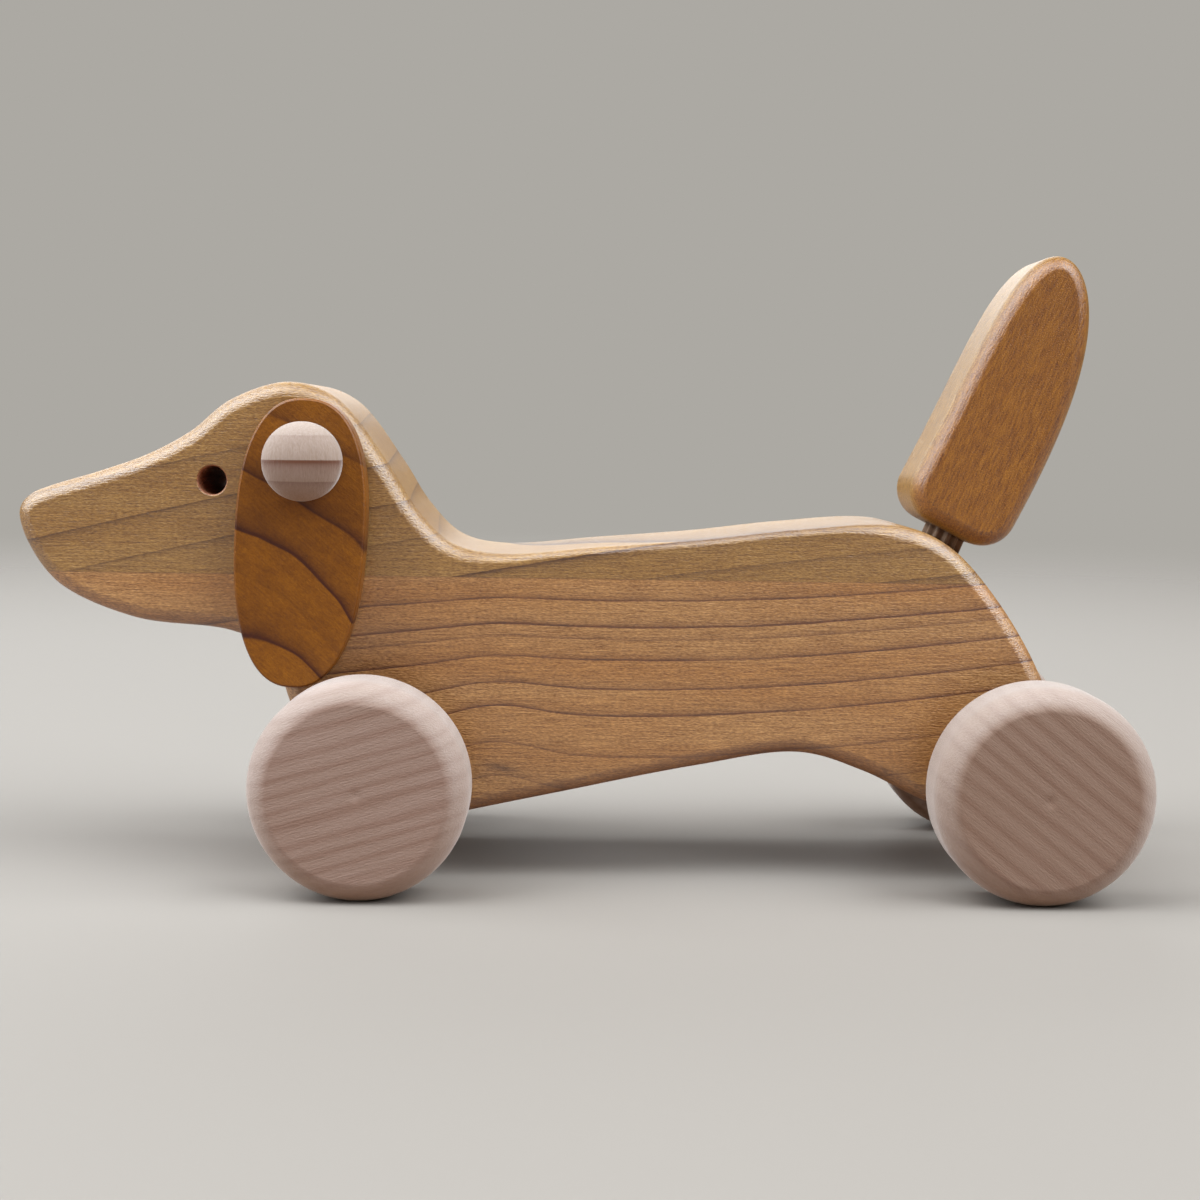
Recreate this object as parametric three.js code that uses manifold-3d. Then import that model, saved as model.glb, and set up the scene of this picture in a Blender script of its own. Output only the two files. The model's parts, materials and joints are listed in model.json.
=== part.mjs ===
// A wooden toy dachshund that rolls on four wheels. Millimetres, +Z up, nose towards -X, left side at -Y.
// The dog is one thick board with rounded edges. Each pair of wheels is glued to a dowel axle that turns in
// the board, the ears hang on domed pegs, and the tail turns on a fluted dowel that stands in the rump.

import * as THREE from 'three';
import { mergeVertices } from 'three/addons/utils/BufferGeometryUtils.js';
import Module from 'manifold-3d';

const wasm = await Module();
wasm.setup();

// Wheels and axles. The wheels are blind: their outer faces are whole.
const WHEEL_DIAMETER = 38;
const WHEEL_WIDTH = 14;
const WHEEL_OUTER_ROUND = 4.4;
const WHEEL_INNER_ROUND = 2;
const WHEEL_CAP = 5; // wood left between the axle's end and the outer face
const WHEEL_SIDES = 48; // a multiple of four, so that a flat facet faces down
const WHEELBASE = 117.3;
const AXLE_DIAMETER = 8;
const AXLE_SIDES = 24;

// Body board
const BODY_THICKNESS = 36;
const BODY_ROUND = 3;
const EYE_DIAMETER = 5.1;
const EYE_PLACE = new THREE.Vector2(-27.6, 52.1); // forward of and above the front axle

// Ears and their pegs
const PEG_PLACE = new THREE.Vector2(-10.6, 55.7); // forward of and above the front axle
const PEG_HEAD_DIAMETER = 13.75;
const PEG_HEAD_HEIGHT = 6;
const PEG_RIM_HEIGHT = 2.2; // straight side under the dome
const PEG_SHANK_DIAMETER = 6;
const PEG_WEB = 8; // wood left between the two peg holes in the body
const EAR_LEAN = 3.5; // degrees forward of plumb
const EAR_WIDTH = 22.7;
const EAR_RISE = 10.9; // from the peg up to the top
const EAR_DROP = 39.7; // from the peg down to the tip
const EAR_WIDEST = 11.9; // from the peg down to the widest line
const EAR_THICKNESS = 5.5;
const EAR_ROUND = 0.5;
const EAR_FULLNESS = 2.41; // superellipse exponent, 2 is an ellipse

// Tail and its dowel
const TAIL_PLACE = new THREE.Vector2(-12.8, 40.7); // forward of and above the rear axle, on the rump
const TAIL_LEAN = 22.75; // degrees rearward of plumb
const TAIL_STANDOFF = 2.9; // bare dowel between the rump and the tail's foot
const TAIL_LENGTH = 53.2;
const TAIL_WIDTH = 20.1;
const TAIL_THICKNESS = 20.7;
const TAIL_ROUND = 3.2;
const TAIL_FOOT_CORNER = 6.2;
const TAIL_FULLNESS = 4.36; // superellipse exponent along the tail's length
const TAIL_SKEW = 0.09; // drop of the rear edge for each millimetre rearward
const TAIL_OFFSET = -1.2; // the foot's middle, rearward of the dowel
const TAIL_BOW = 1.5; // how far the middle of the tail's length bends rearward
const DOWEL_DIAMETER = 8;
const DOWEL_FLUTES = 12;
const DOWEL_FLUTE_DEPTH = 0.5;
const DOWEL_CHAMFER = 0.8;
const DOWEL_BODY_DEPTH = 16;
const DOWEL_TAIL_DEPTH = 20;

// Clearances
const RUNNING_GAP = 0.3; // round a shaft that turns
const GLUE_GAP = 0.2; // round a shaft that is glued
const SOCKET_END_GAP = 0.3; // past the end of a shaft in a blind hole
const EAR_SIDE_GAP = 0.3; // between an ear and the board, and an ear and the peg's head
const EAR_WHEEL_GAP = 1.2; // between an ear and the wheel that it swings behind
const CUT_MARGIN = 5; // how far a cutting tool runs past the face that it enters

// The dog's outline, clockwise from the nose. A point of the front half is measured from the front axle, and
// one of the rear half from the rear axle, so that a longer wheelbase makes a longer dog.
const MUZZLE_TO_BACK = [
  [-62.4, 45.7], [-61.9, 47.7], [-60.2, 49.4], [-56.6, 50.9], [-48.1, 53.5], [-39.5, 56.6], [-31.9, 60.7],
  [-24.7, 66.4], [-14.3, 69.6], [-5.8, 66.8], [3.2, 55.4], [8.1, 47.7], [14.2, 41.8], [21.9, 39.5],
];
const BACK_TO_BELLY = [
  [-57.6, 41.8], [-41.1, 44.1], [-22.7, 45.4], [-14.1, 41.4], [-4.9, 31.3], [3.2, 17.4], [9.2, 0.4],
  [7.8, -7.8], [-0.2, -10.5], [-17.5, -4.5], [-28.4, 0.6], [-40.0, 4.3], [-58.7, 1.5],
];
const BELLY_TO_CHIN = [
  [30.6, -4.4], [6.5, -9.3], [-2.3, -10.2], [-8.2, -5.8], [-14.5, 12.4], [-18.2, 21.9], [-25.0, 25.2],
  [-42.0, 27.4], [-55.4, 33.3], [-60.8, 40.4],
];
const OUTLINE_STEPS = 4; // straight pieces between two neighbouring points of the outline

// Woods
const CHERRY = { color: 0xa5784e, roughness: 0.55 };
const DARK_CHERRY = { color: 0x82501f, roughness: 0.5 };
const RED_CHERRY = { color: 0x915f37, roughness: 0.5 };
const BEECH = { color: 0xcdb5a2, roughness: 0.75 };

const wheelRadius = WHEEL_DIAMETER / 2;
const halfBoard = BODY_THICKNESS / 2;
const frontAxle = new THREE.Vector2(0, wheelRadius);
const rearAxle = new THREE.Vector2(WHEELBASE, wheelRadius);
const pegCentre = frontAxle.clone().add(PEG_PLACE);
const eyeCentre = frontAxle.clone().add(EYE_PLACE);
const tailRoot = rearAxle.clone().add(TAIL_PLACE);
const tailLean = THREE.MathUtils.degToRad(TAIL_LEAN);

// Solids

function toSolid(geometry) {
  const bare = geometry.clone();
  bare.deleteAttribute('normal');
  bare.deleteAttribute('uv');
  const merged = mergeVertices(bare);
  return new wasm.Manifold(new wasm.Mesh({
    numProp: 3,
    vertProperties: new Float32Array(merged.attributes.position.array),
    triVerts: new Uint32Array(merged.index.array),
  }));
}

function toGeometry(solid) {
  const mesh = solid.getMesh();
  const geometry = new THREE.BufferGeometry();
  geometry.setAttribute('position', new THREE.BufferAttribute(mesh.vertProperties, 3));
  geometry.setIndex(new THREE.BufferAttribute(mesh.triVerts, 1));
  geometry.computeVertexNormals();
  return geometry;
}

function cut(geometry, tools) {
  let solid = toSolid(geometry);
  for (const tool of tools) {
    solid = solid.subtract(toSolid(tool));
  }
  return toGeometry(solid);
}

function makePiece(name, geometry, wood) {
  const piece = new THREE.Mesh(geometry, new THREE.MeshStandardMaterial({ ...wood, metalness: 0 }));
  piece.name = name;
  return piece;
}

function arcPoints(centreX, centreY, radiusX, radiusY, fromDegrees, toDegrees, steps) {
  const points = [];
  for (let step = 0; step <= steps; step += 1) {
    const angle = THREE.MathUtils.degToRad(THREE.MathUtils.lerp(fromDegrees, toDegrees, step / steps));
    points.push(new THREE.Vector2(centreX + radiusX * Math.cos(angle), centreY + radiusY * Math.sin(angle)));
  }
  return points;
}

// The radius of the sharpest outward bend of a closed outline
function tightestBulge(points) {
  const sense = Math.sign(THREE.ShapeUtils.area(points));
  let tightest = Infinity;
  for (let index = 0; index < points.length; index += 1) {
    const stepIn = points[index].clone().sub(points.at(index - 1));
    const stepOut = points[(index + 1) % points.length].clone().sub(points[index]);
    const turn = sense * Math.atan2(stepIn.cross(stepOut), stepIn.dot(stepOut));
    if (turn > 0) {
      tightest = Math.min(tightest, (stepIn.length() + stepOut.length()) / 2 / turn);
    }
  }
  return tightest;
}

// A board of the given outline, standing in the XZ plane with its middle at Y = 0 and its edges rounded over.
// A round-over is never larger than the outline's sharpest bulge or half the board allows.
function roundedBoard(outline, thickness, wantedRound, roundSteps) {
  const round = Math.min(wantedRound, 0.9 * tightestBulge(outline), 0.45 * thickness);
  const board = new THREE.ExtrudeGeometry(new THREE.Shape(outline), {
    depth: thickness - 2 * round,
    bevelThickness: round,
    bevelSize: round,
    bevelOffset: -round,
    bevelSegments: roundSteps,
  });
  board.translate(0, 0, round - thickness / 2);
  return board.rotateX(Math.PI / 2);
}

function crossHole(radius, centre, fromY, toY) {
  const hole = new THREE.CylinderGeometry(radius, radius, toY - fromY, AXLE_SIDES);
  return hole.translate(centre.x, (fromY + toY) / 2, centre.y);
}

// Body

function bodyOutline() {
  const place = (axle) => ([x, z]) => new THREE.Vector3(axle.x + x, axle.y + z, 0);
  const points = [
    ...MUZZLE_TO_BACK.map(place(frontAxle)),
    ...BACK_TO_BELLY.map(place(rearAxle)),
    ...BELLY_TO_CHIN.map(place(frontAxle)),
  ];
  const curve = new THREE.CatmullRomCurve3(points, true, 'centripetal');
  const samples = curve.getPoints(points.length * OUTLINE_STEPS);
  samples.pop(); // the last point repeats the first
  return samples.map((point) => new THREE.Vector2(point.x, point.y));
}

const pegGrip = halfBoard - PEG_WEB / 2; // length of peg glued into the body

function makeBody() {
  const board = roundedBoard(bodyOutline(), BODY_THICKNESS, BODY_ROUND, 3);
  const past = halfBoard + CUT_MARGIN;
  const axleBore = AXLE_DIAMETER / 2 + RUNNING_GAP;
  const pegHole = PEG_SHANK_DIAMETER / 2 + GLUE_GAP;
  const pegHoleEnd = halfBoard - pegGrip - SOCKET_END_GAP;
  const dowelHole = DOWEL_DIAMETER / 2 + GLUE_GAP;
  const dowelDepth = DOWEL_BODY_DEPTH + SOCKET_END_GAP;
  const tailSocket = new THREE.CylinderGeometry(dowelHole, dowelHole, dowelDepth + CUT_MARGIN, AXLE_SIDES);
  tailSocket.rotateX(Math.PI / 2).translate(0, 0, (CUT_MARGIN - dowelDepth) / 2);
  tailSocket.rotateY(tailLean).translate(tailRoot.x, 0, tailRoot.y);
  return cut(board, [
    crossHole(axleBore, frontAxle, -past, past),
    crossHole(axleBore, rearAxle, -past, past),
    crossHole(EYE_DIAMETER / 2, eyeCentre, -past, past),
    crossHole(pegHole, pegCentre, -past, -pegHoleEnd),
    crossHole(pegHole, pegCentre, pegHoleEnd, past),
    tailSocket,
  ]);
}

// Wheels and axles

// The wheels stand off the board, which leaves the ears room to swing behind them.
const wheelInnerFace = halfBoard + EAR_SIDE_GAP + EAR_THICKNESS + EAR_WHEEL_GAP;
const axleReach = wheelInnerFace + WHEEL_WIDTH - WHEEL_CAP; // from the middle of the toy to the axle's end

// A wheel with its inner face at Y = 0, its outer face at Y = WHEEL_WIDTH and a flat facet facing down
function makeWheel() {
  const socket = AXLE_DIAMETER / 2 + GLUE_GAP;
  const socketEnd = WHEEL_WIDTH - WHEEL_CAP + SOCKET_END_GAP;
  const inner = WHEEL_INNER_ROUND;
  const outer = WHEEL_OUTER_ROUND;
  const profile = [
    new THREE.Vector2(0, socketEnd),
    new THREE.Vector2(socket, socketEnd),
    new THREE.Vector2(socket, 0),
    ...arcPoints(wheelRadius - inner, inner, inner, inner, -90, 0, 2),
    ...arcPoints(wheelRadius - outer, WHEEL_WIDTH - outer, outer, outer, 0, 90, 4),
    new THREE.Vector2(0, WHEEL_WIDTH),
  ];
  const halfFacet = Math.PI / WHEEL_SIDES;
  const acrossFlats = 1 / Math.cos(halfFacet);
  const wheel = new THREE.LatheGeometry(profile, WHEEL_SIDES, halfFacet);
  return wheel.scale(acrossFlats, 1, acrossFlats);
}

// An axle with its two wheels, on the axis at (x, z) = place
function makeWheelset(end, place) {
  const axleRadius = AXLE_DIAMETER / 2;
  const axle = new THREE.CylinderGeometry(axleRadius, axleRadius, 2 * axleReach, AXLE_SIDES);
  const leftWheel = makePiece(`${end}_left_wheel`, makeWheel(), BEECH);
  leftWheel.rotation.z = Math.PI;
  leftWheel.position.y = -wheelInnerFace;
  const rightWheel = makePiece(`${end}_right_wheel`, makeWheel(), BEECH);
  rightWheel.position.y = wheelInnerFace;
  const wheelset = new THREE.Group();
  wheelset.add(makePiece(`${end}_axle`, axle, BEECH), leftWheel, rightWheel);
  wheelset.position.set(place.x, 0, place.y);
  return wheelset;
}

// Ears and pegs

const earInnerFace = halfBoard + EAR_SIDE_GAP;
const pegHeadFace = earInnerFace + EAR_THICKNESS + EAR_SIDE_GAP;

// The ear's outline round its peg
function earOutline() {
  const points = [];
  const steps = 48;
  const sharpness = 2 / EAR_FULLNESS;
  const curved = (value) => Math.sign(value) * Math.abs(value) ** sharpness;
  for (let step = 0; step < steps; step += 1) {
    const angle = (2 * Math.PI * step) / steps;
    const height = Math.sin(angle) > 0 ? EAR_RISE + EAR_WIDEST : EAR_DROP - EAR_WIDEST;
    const across = (EAR_WIDTH / 2) * curved(Math.cos(angle));
    const up = height * curved(Math.sin(angle)) - EAR_WIDEST;
    points.push(new THREE.Vector2(across, up));
  }
  const pivot = new THREE.Vector2(0, 0);
  return points.map((point) => point.rotateAround(pivot, -THREE.MathUtils.degToRad(EAR_LEAN)));
}

function makeEar(name) {
  const board = roundedBoard(earOutline(), EAR_THICKNESS, EAR_ROUND, 3);
  const holeRadius = PEG_SHANK_DIAMETER / 2 + RUNNING_GAP;
  const past = EAR_THICKNESS / 2 + CUT_MARGIN;
  const hole = crossHole(holeRadius, new THREE.Vector2(0, 0), -past, past);
  return makePiece(name, cut(board, [hole]), DARK_CHERRY);
}

// A peg with the underside of its head at Y = 0 and its dome towards +Y
function makePeg(name) {
  const shankRadius = PEG_SHANK_DIAMETER / 2;
  const shankEnd = halfBoard - pegGrip - pegHeadFace;
  const headRadius = PEG_HEAD_DIAMETER / 2;
  const dome = PEG_HEAD_HEIGHT - PEG_RIM_HEIGHT;
  const profile = [
    new THREE.Vector2(0, shankEnd),
    new THREE.Vector2(shankRadius, shankEnd),
    new THREE.Vector2(shankRadius, 0),
    new THREE.Vector2(headRadius, 0),
    ...arcPoints(0, PEG_RIM_HEIGHT, headRadius, dome, 0, 85, 6),
    new THREE.Vector2(0, PEG_HEAD_HEIGHT),
  ];
  return makePiece(name, new THREE.LatheGeometry(profile, 32), BEECH);
}

function makeEarSide(side) {
  const ear = makeEar(`${side}_ear`);
  ear.position.y = earInnerFace + EAR_THICKNESS / 2;
  const peg = makePeg(`${side}_ear_peg`);
  peg.position.y = pegHeadFace;
  if (side === 'left') {
    ear.position.y *= -1;
    peg.position.y *= -1;
    peg.rotation.x = Math.PI;
  }
  const pair = new THREE.Group();
  pair.add(ear, peg);
  pair.position.set(pegCentre.x, 0, pegCentre.y);
  return pair;
}

// Tail and dowel, made upright with the rump's surface at Z = 0 and then leant back

function tailOutline() {
  const half = TAIL_WIDTH / 2;
  const corner = Math.min(TAIL_FOOT_CORNER, half);
  const steps = 12;
  const side = [];
  for (let step = 1; step <= steps; step += 1) {
    const height = TAIL_LENGTH - (TAIL_LENGTH - corner) * (1 - step / steps) ** 2;
    side.push(new THREE.Vector2(half * Math.sqrt(1 - (height / TAIL_LENGTH) ** TAIL_FULLNESS), height));
  }
  const tip = side.pop();
  const farSide = side.map((point) => new THREE.Vector2(-point.x, point.y)).reverse();
  const points = [
    ...arcPoints(corner - half, corner, corner, corner, 180, 270, 5),
    ...arcPoints(half - corner, corner, corner, corner, 270, 360, 5),
    ...side,
    tip,
    ...farSide,
  ];
  return points.map((point) => {
    const rise = point.y / TAIL_LENGTH;
    const bend = TAIL_OFFSET + 4 * TAIL_BOW * rise * (1 - rise);
    return new THREE.Vector2(point.x + bend, point.y - TAIL_SKEW * point.x);
  });
}

function makeTail() {
  const board = roundedBoard(tailOutline(), TAIL_THICKNESS, TAIL_ROUND, 4);
  const holeRadius = DOWEL_DIAMETER / 2 + RUNNING_GAP;
  const depth = DOWEL_TAIL_DEPTH + SOCKET_END_GAP;
  const socket = new THREE.CylinderGeometry(holeRadius, holeRadius, depth + CUT_MARGIN, AXLE_SIDES);
  socket.rotateX(Math.PI / 2).translate(0, 0, (depth - CUT_MARGIN) / 2);
  const tail = makePiece('tail', cut(board, [socket]), RED_CHERRY);
  tail.position.z = TAIL_STANDOFF;
  return tail;
}

function makeTailDowel() {
  const points = [];
  const stepsPerFlute = 4;
  const steps = DOWEL_FLUTES * stepsPerFlute;
  for (let step = 0; step < steps; step += 1) {
    const angle = (2 * Math.PI * step) / steps;
    const groove = (1 - Math.cos(DOWEL_FLUTES * angle)) / 2;
    const radius = DOWEL_DIAMETER / 2 - DOWEL_FLUTE_DEPTH * groove;
    points.push(new THREE.Vector2(radius * Math.cos(angle), radius * Math.sin(angle)));
  }
  const length = DOWEL_BODY_DEPTH + TAIL_STANDOFF + DOWEL_TAIL_DEPTH;
  const dowel = new THREE.ExtrudeGeometry(new THREE.Shape(points), {
    depth: length - 2 * DOWEL_CHAMFER,
    bevelThickness: DOWEL_CHAMFER,
    bevelSize: DOWEL_CHAMFER / 2,
    bevelOffset: -DOWEL_CHAMFER / 2,
    bevelSegments: 1,
  });
  dowel.translate(0, 0, DOWEL_CHAMFER - DOWEL_BODY_DEPTH);
  return makePiece('tail_dowel', dowel, BEECH);
}

function makeTailOnDowel() {
  const pair = new THREE.Group();
  pair.add(makeTail(), makeTailDowel());
  pair.rotation.y = tailLean;
  pair.position.set(tailRoot.x, 0, tailRoot.y);
  return pair;
}

// The toy stands on Z = 0 with the middle of its length over the origin.
const toy = new THREE.Group();
toy.add(
  makePiece('body', makeBody(), CHERRY),
  makeWheelset('front', frontAxle),
  makeWheelset('rear', rearAxle),
  makeEarSide('left'),
  makeEarSide('right'),
  makeTailOnDowel(),
);
toy.updateMatrixWorld(true);
const reach = new THREE.Box3().setFromObject(toy, true);
toy.position.x = -(reach.min.x + reach.max.x) / 2;

export default toy;
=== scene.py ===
"""A wooden toy dachshund on wheels, dressed over its CAD frame. Metres, +Z up, the nose towards -X.

Shapes are worked out in millimetres. Each piece is made in its own sawn coordinates, in which its wood is
drawn, and is then set in its place on the toy.
"""

import json
import math

import bmesh
import bpy
from mathutils import Matrix, Vector


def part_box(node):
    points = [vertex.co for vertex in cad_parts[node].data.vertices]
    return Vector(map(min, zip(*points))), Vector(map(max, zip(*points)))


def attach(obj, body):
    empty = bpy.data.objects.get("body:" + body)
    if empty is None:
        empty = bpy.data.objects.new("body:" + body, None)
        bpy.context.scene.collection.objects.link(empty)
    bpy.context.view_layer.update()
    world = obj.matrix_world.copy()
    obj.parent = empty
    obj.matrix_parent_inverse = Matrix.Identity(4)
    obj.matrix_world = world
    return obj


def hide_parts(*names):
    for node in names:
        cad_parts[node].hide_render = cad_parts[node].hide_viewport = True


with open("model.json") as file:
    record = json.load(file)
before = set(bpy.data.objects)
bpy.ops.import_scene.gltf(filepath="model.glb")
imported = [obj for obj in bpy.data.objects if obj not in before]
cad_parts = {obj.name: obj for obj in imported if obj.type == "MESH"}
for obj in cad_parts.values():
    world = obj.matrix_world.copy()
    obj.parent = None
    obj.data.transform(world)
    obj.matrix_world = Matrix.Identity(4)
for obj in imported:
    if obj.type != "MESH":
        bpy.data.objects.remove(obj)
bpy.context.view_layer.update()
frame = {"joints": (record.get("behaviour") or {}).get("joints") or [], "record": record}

MM = 0.001

# Camera, in millimetres and degrees
CAMERA_PLACE = Vector((1.16, -350.4, 80.65))
CAMERA_YAW = 0.51  # to the right of +Y
CAMERA_PITCH = 5.18  # below the horizon
CAMERA_ROLL = 0.58
CAMERA_LENS = 56.34

# The dog's outline, clockwise from the nose, each half measured from its own axle
MUZZLE_TO_BACK = [
    (-62.4, 45.7), (-61.9, 47.7), (-60.2, 49.4), (-56.6, 50.9), (-48.1, 53.5), (-39.5, 56.6),
    (-31.9, 60.7), (-24.7, 66.4), (-14.3, 69.6), (-5.8, 66.8), (3.2, 55.4), (8.1, 47.7), (14.2, 41.6),
    (21.9, 39.6), (41.4, 40.9),
]
BACK_TO_BELLY = [
    (-57.6, 42.4), (-41.1, 44.3), (-22.7, 45.1), (-13.8, 41.5), (-4.5, 31.4), (3.6, 17.5), (9.4, 0.4),
    (7.8, -7.8), (-0.2, -10.5), (-17.5, -4.5), (-28.4, 0.7), (-40.0, 4.0), (-58.7, 1.4),
]
BELLY_TO_CHIN = [
    (30.6, -4.4), (6.5, -9.3), (-2.3, -10.2), (-8.2, -5.8), (-14.5, 12.4), (-18.2, 21.9), (-25.0, 25.2),
    (-42.0, 27.4), (-55.4, 33.3), (-60.8, 40.4),
]
OUTLINE_STEPS = 10

# Body
BODY_ROUND = 2.8  # how far each edge's round reaches in over the face
BACK_ROUND = 1.3  # the same along the back
BACK_START = (-26.0, -4.0)  # X where the back's smaller round sets in, and where it is full
BACK_END = (44.0, 60.0)  # X where it starts to grow again, and where it has grown
EYE_PLACE = (-27.6, 52.1)  # from the front axle
EYE_RADIUS = 2.55
EYE_CHAMFER = 0.25
AXLE_BORE_RADIUS = 4.3
PEG_HOLE_RADIUS = 3.2
PEG_HOLE_END = 3.7  # from the middle of the board
DOWEL_SOCKET_RADIUS = 4.2
DOWEL_SOCKET_DEPTH = 16.3
CUT_MARGIN = 5.0

# Wheels and axles
WHEEL_FACE_RADIUS = 15.0  # of the flat outer face
WHEEL_INNER_ROUND = 2.0
WHEEL_SOCKET_RADIUS = 4.2
WHEEL_SOCKET_DEPTH = 9.3
WHEEL_RIM_WIDTH = 2.0  # from the edge of the face to where the rim's painted highlight is full
LATHE_MARK_RADIUS = 0.9
LATHE_MARK_FLOOR = 0.36  # radius of the mark's flat bottom
LATHE_MARK_DEPTH = 0.15
AXLE_CHAMFER = 0.6
LATHE_STEPS = 128

# Ears and pegs
EAR_LEAN = 3.5
EAR_WIDTH = 22.7
EAR_RISE = 10.9
EAR_DROP = 39.7
EAR_WIDEST = 11.9
EAR_FULLNESS = 2.41
EAR_ROUND = 0.4
EAR_HOLE_RADIUS = 3.3
EAR_STEPS = 160
PEG_HEAD_RADIUS = 6.875
PEG_HEAD_HEIGHT = 6.0
PEG_RIM_HEIGHT = 2.2
PEG_RIM_ROUND = 0.4
PEG_SHANK_RADIUS = 3.0
PEG_DOME_END = 84.0  # degrees of the dome that are made before its last point
PEG_DOME_STEPS = 24

# Tail and dowel, upright with the rump at Z = 0
TAIL_STANDOFF = 2.9
TAIL_LENGTH = 53.6
TAIL_WIDTH = 20.7
TAIL_ROUND = 2.8
TAIL_FOOT_CORNER = 6.2
TAIL_FULLNESS = 4.36
TAIL_SKEW = 0.09
TAIL_OFFSET = -1.2  # the foot's middle, rearward of the dowel
TAIL_BOW = 1.5  # how far the middle of the tail's length bends rearward
TAIL_SOCKET_RADIUS = 4.3
TAIL_SOCKET_DEPTH = 20.3
TAIL_SIDE_STEPS = 40
TAIL_CORNER_STEPS = 12
DOWEL_RADIUS = 4.0
DOWEL_FLUTES = 12
DOWEL_FLUTE_DEPTH = 0.7
DOWEL_FLUTE_STEPS = 12
DOWEL_CHAMFER = 0.8
DOWEL_BODY_DEPTH = 16.0
DOWEL_TAIL_DEPTH = 20.0

# Rounded edges: the slope in degrees at which each one meets its face, and how finely it is made
BODY_EDGE_START = 80.0
TAIL_EDGE_START = 74.0
EAR_EDGE_START = 66.0
WHEEL_EDGE_START = 78.0
ROUND_STEPS = 10
SHARP_ANGLE = 20.0  # degrees, edges steeper than this stay crisp
FLAT_FACE_WEIGHT = 100  # how far large faces rule the shading, the most that there is
MERGE_DISTANCE = 0.001

SAWN = "sawn"  # the attribute with a piece's own coordinates, in millimetres
RIM = "rim"  # the attribute that is 0 on a wheel's faces and 1 at its tread, which masks the rim's painted highlight

joints = {joint["name"]: joint for joint in frame["joints"]}
body_of_node = {
    node: body for body, nodes in frame["record"]["behaviour"]["bodies"].items() for node in nodes
}
slot_of_node = {part["node"]: part["material_slot"] for part in frame["record"]["subparts"]}


def joint_place(name):
    return Vector(joints[name]["pos_m"]) / MM


def node_box(node):
    low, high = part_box(node)
    return low / MM, high / MM


front_axle = joint_place("front_wheels_roll")
rear_axle = joint_place("rear_wheels_roll")
peg_place = joint_place("left_ear_swing")
tail_root = joint_place("tail_turn")
tail_axis = Vector(joints["tail_turn"]["axis"])
eye_place = Vector((front_axle.x + EYE_PLACE[0], 0, front_axle.z + EYE_PLACE[1]))
half_board = node_box("body")[1].y


# Meshes


def make_mesh(name, vertices, faces):
    """A new object in millimetres, with its faces pointing out."""
    mesh = bpy.data.meshes.new(name)
    mesh.from_pydata(vertices, [], faces)
    work = bmesh.new()
    work.from_mesh(mesh)
    bmesh.ops.remove_doubles(work, verts=work.verts, dist=MERGE_DISTANCE)
    bmesh.ops.recalc_face_normals(work, faces=work.faces)
    work.to_mesh(mesh)
    work.free()
    piece = bpy.data.objects.new(name, mesh)
    bpy.context.scene.collection.objects.link(piece)
    return piece


def ring_faces(rings, count):
    """Quads between neighbouring rings of count vertices each."""
    faces = []
    for ring in range(rings - 1):
        for step in range(count):
            following = (step + 1) % count
            low, high = ring * count, (ring + 1) * count
            faces.append((low + step, low + following, high + following, high + step))
    return faces


def stack(name, rings):
    """A closed solid through rings of equal vertex count, with a flat face at each end."""
    count = len(rings[0])
    vertices = [vertex for ring in rings for vertex in ring]
    last = (len(rings) - 1) * count
    faces = ring_faces(len(rings), count)
    faces.append(tuple(range(count)))
    faces.append(tuple(range(last, last + count)))
    return make_mesh(name, vertices, faces)


def inward_normals(outline):
    """The unit normals of a closed outline's points, towards its inside."""
    count = len(outline)
    area = sum(
        outline[i - 1].x * outline[i].y - outline[i].x * outline[i - 1].y for i in range(count)
    )
    sense = math.copysign(1, area)
    normals = []
    for i in range(count):
        along = (outline[i] - outline[i - 1]).normalized()
        along += (outline[(i + 1) % count] - outline[i]).normalized()
        normals.append(Vector((-along.y, along.x)).normalized() * sense)
    return normals


def smooth_step(value, low, high):
    """0 below low and 1 above high, with a smooth step between them."""
    t = min(max((value - low) / (high - low), 0), 1)
    return t * t * (3 - 2 * t)


def routed_edge(inset, start, top):
    """Points (inset, y) of an edge rounded over from the side of a piece to its face at y = top.

    The arc leaves the side smoothly and meets the face at a slope of start degrees, with a crease there.
    """
    slope = math.radians(start)
    radius = inset / (1 - math.cos(slope))
    points = []
    for step in range(ROUND_STEPS + 1):
        angle = slope * step / ROUND_STEPS
        points.append((radius * (1 - math.cos(angle)), top - radius * (math.sin(slope) - math.sin(angle))))
    return points


def routed_board(name, outline, thickness, insets, start):
    """A board in the XZ plane with its middle at Y = 0 and its edges rounded over.

    Each point of the outline has its own inset, which is how far the round reaches in over the face there.
    """
    normals = inward_normals(outline)
    profile = routed_edge(1, start, 0)
    rings = []
    for side, half_profile in ((-1, reversed(profile)), (1, profile)):
        for inward, drop in half_profile:
            ring = []
            for point, normal, inset in zip(outline, normals, insets):
                moved_in = point + normal * inward * inset
                ring.append((moved_in.x, side * (thickness / 2 + drop * inset), moved_in.y))
            rings.append(ring)
    return stack(name, rings)


def lathe(name, profile):
    """A turned solid about the Y axis from (radius, y) points, the first and last of them on the axis."""
    rings = []
    for radius, y in profile[1:-1]:
        ring = []
        for step in range(LATHE_STEPS):
            angle = 2 * math.pi * step / LATHE_STEPS
            ring.append((radius * math.cos(angle), y, radius * math.sin(angle)))
        rings.append(ring)
    vertices = [vertex for ring in rings for vertex in ring]
    faces = ring_faces(len(rings), LATHE_STEPS)
    for end, start in ((profile[0], 0), (profile[-1], (len(rings) - 1) * LATHE_STEPS)):
        centre = len(vertices)
        vertices.append((0, end[1], 0))
        for step in range(LATHE_STEPS):
            faces.append((start + step, start + (step + 1) % LATHE_STEPS, centre))
    return make_mesh(name, vertices, faces)


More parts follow.
